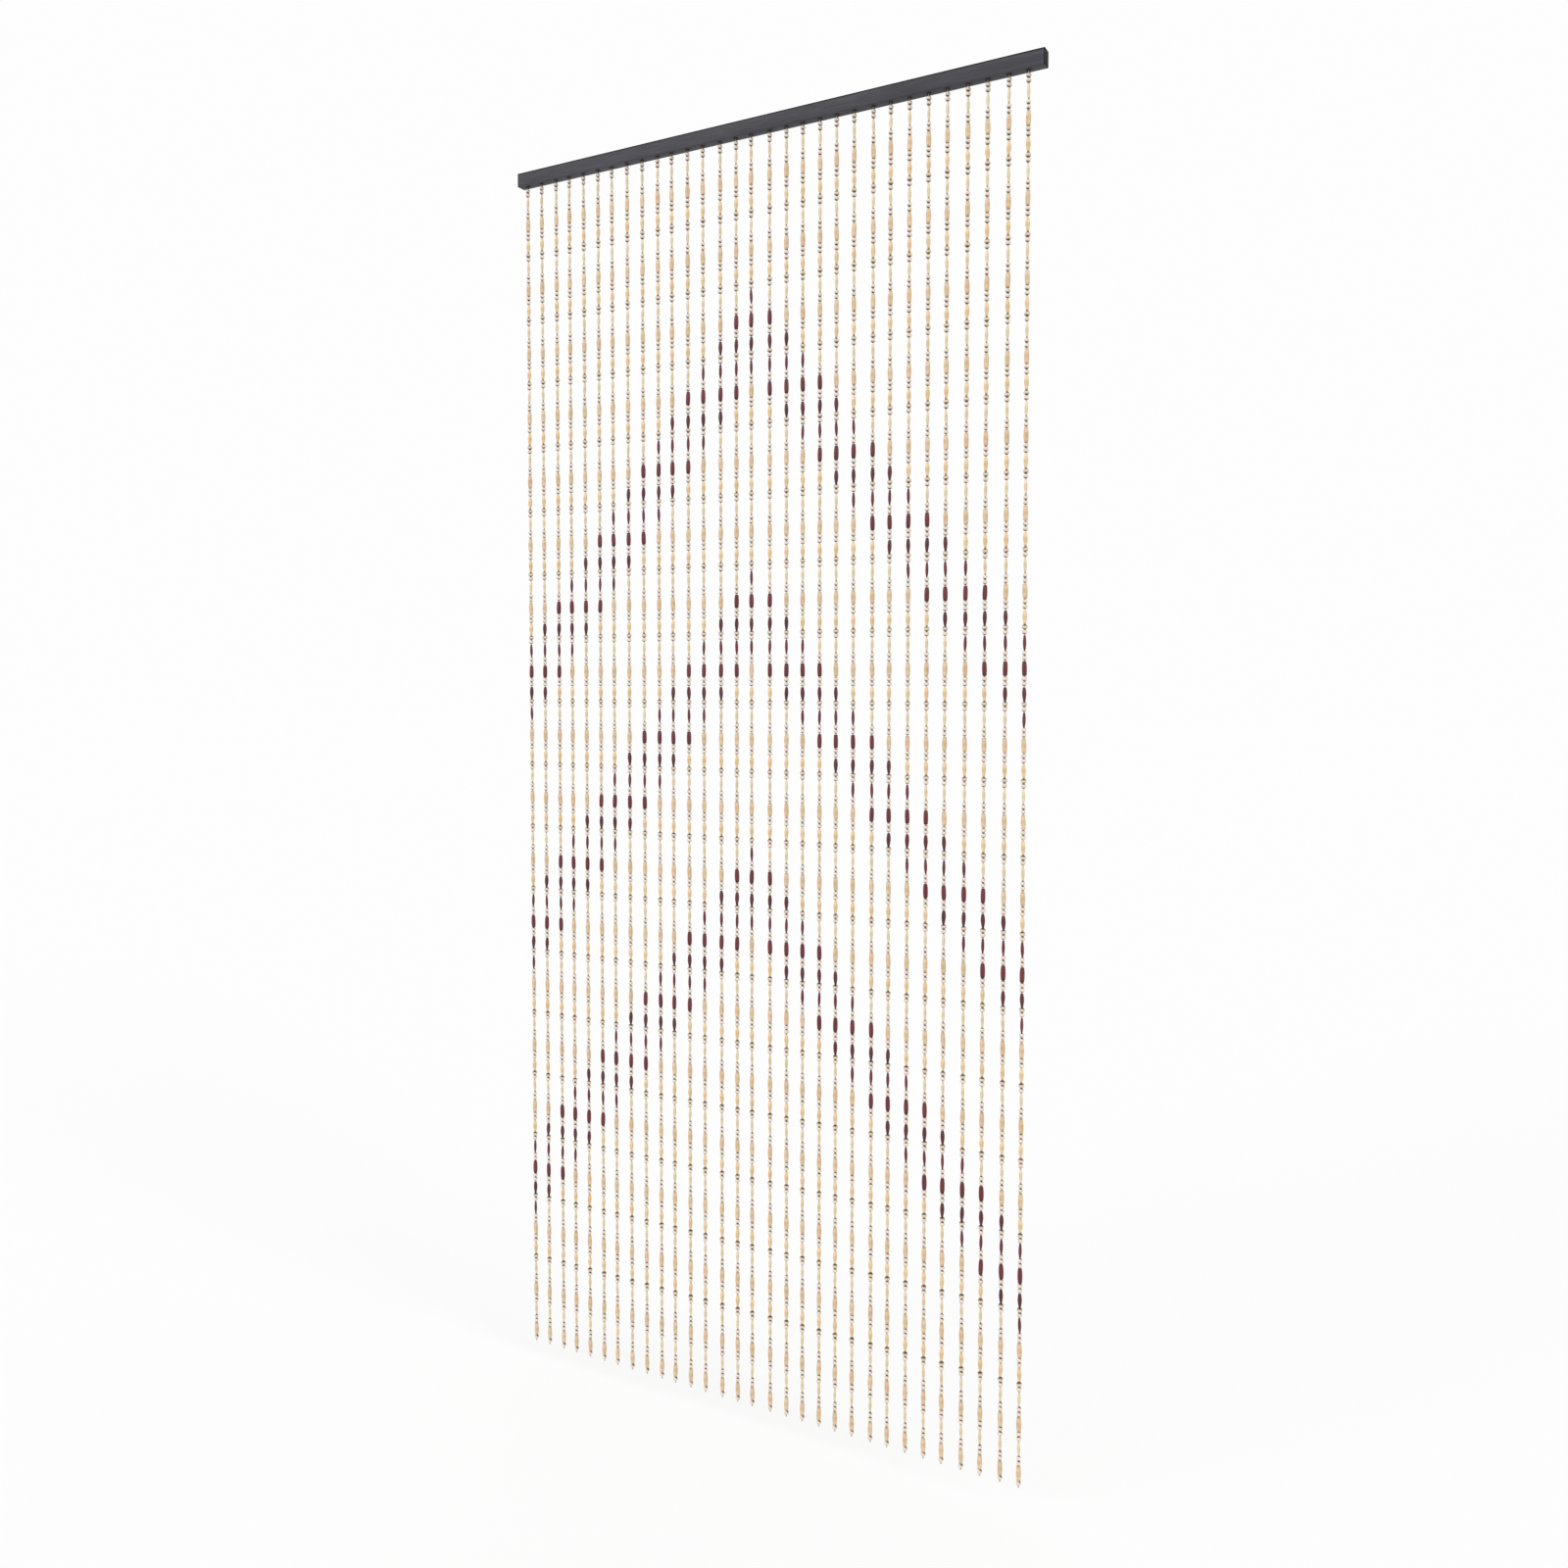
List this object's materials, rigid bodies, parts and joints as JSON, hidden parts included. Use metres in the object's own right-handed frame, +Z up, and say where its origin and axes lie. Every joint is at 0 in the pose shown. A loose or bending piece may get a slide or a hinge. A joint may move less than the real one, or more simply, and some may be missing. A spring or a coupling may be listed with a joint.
{
  "type": "bead curtain with rail",
  "caption": "Door curtain of straight strands threaded with long and small round beads, with V-shaped red bands, hanging side by side from a painted wooden rail.",
  "frame": {"origin": "middle of the rail's top face, which is fixed up under a lintel or ceiling", "axes": "+X along the rail to the right of someone facing the curtain from the room, +Y back towards the wall, +Z up; the strands hang along -Z"},
  "size_m": [0.91, 0.017, 2],
  "materials": {
    "rail_paint": "charcoal paint on planed wood, satin, faint grain",
    "natural_beads": "natural straw, tan and honey coloured beads, satin lacquer",
    "red_beads": "wine-red dyed beads, satin lacquer",
    "small_beads": "pale pinkish-beige round beads, soft gloss",
    "eye_metal": "black lacquered wire",
    "cord": "thin natural cord"
  },
  "bodies": {
    "root": {"rail": "rail_paint", "strand_01": "natural_beads", "strand_02": "natural_beads", "strand_03": "natural_beads", "strand_04": "natural_beads", "strand_05": "natural_beads", "strand_06": "natural_beads", "strand_07": "natural_beads", "strand_08": "natural_beads", "strand_09": "natural_beads", "strand_10": "natural_beads", "strand_11": "natural_beads", "strand_12": "natural_beads", "strand_13": "natural_beads", "strand_14": "natural_beads", "strand_15": "natural_beads", "strand_16": "natural_beads", "strand_17": "natural_beads", "strand_18": "natural_beads", "strand_19": "natural_beads", "strand_20": "natural_beads", "strand_21": "natural_beads", "strand_22": "natural_beads", "strand_23": "natural_beads", "strand_24": "natural_beads", "strand_25": "natural_beads", "strand_26": "natural_beads", "strand_27": "natural_beads", "strand_28": "natural_beads", "strand_29": "natural_beads", "strand_30": "natural_beads", "strand_31": "natural_beads"}
  },
  "joints": []
}
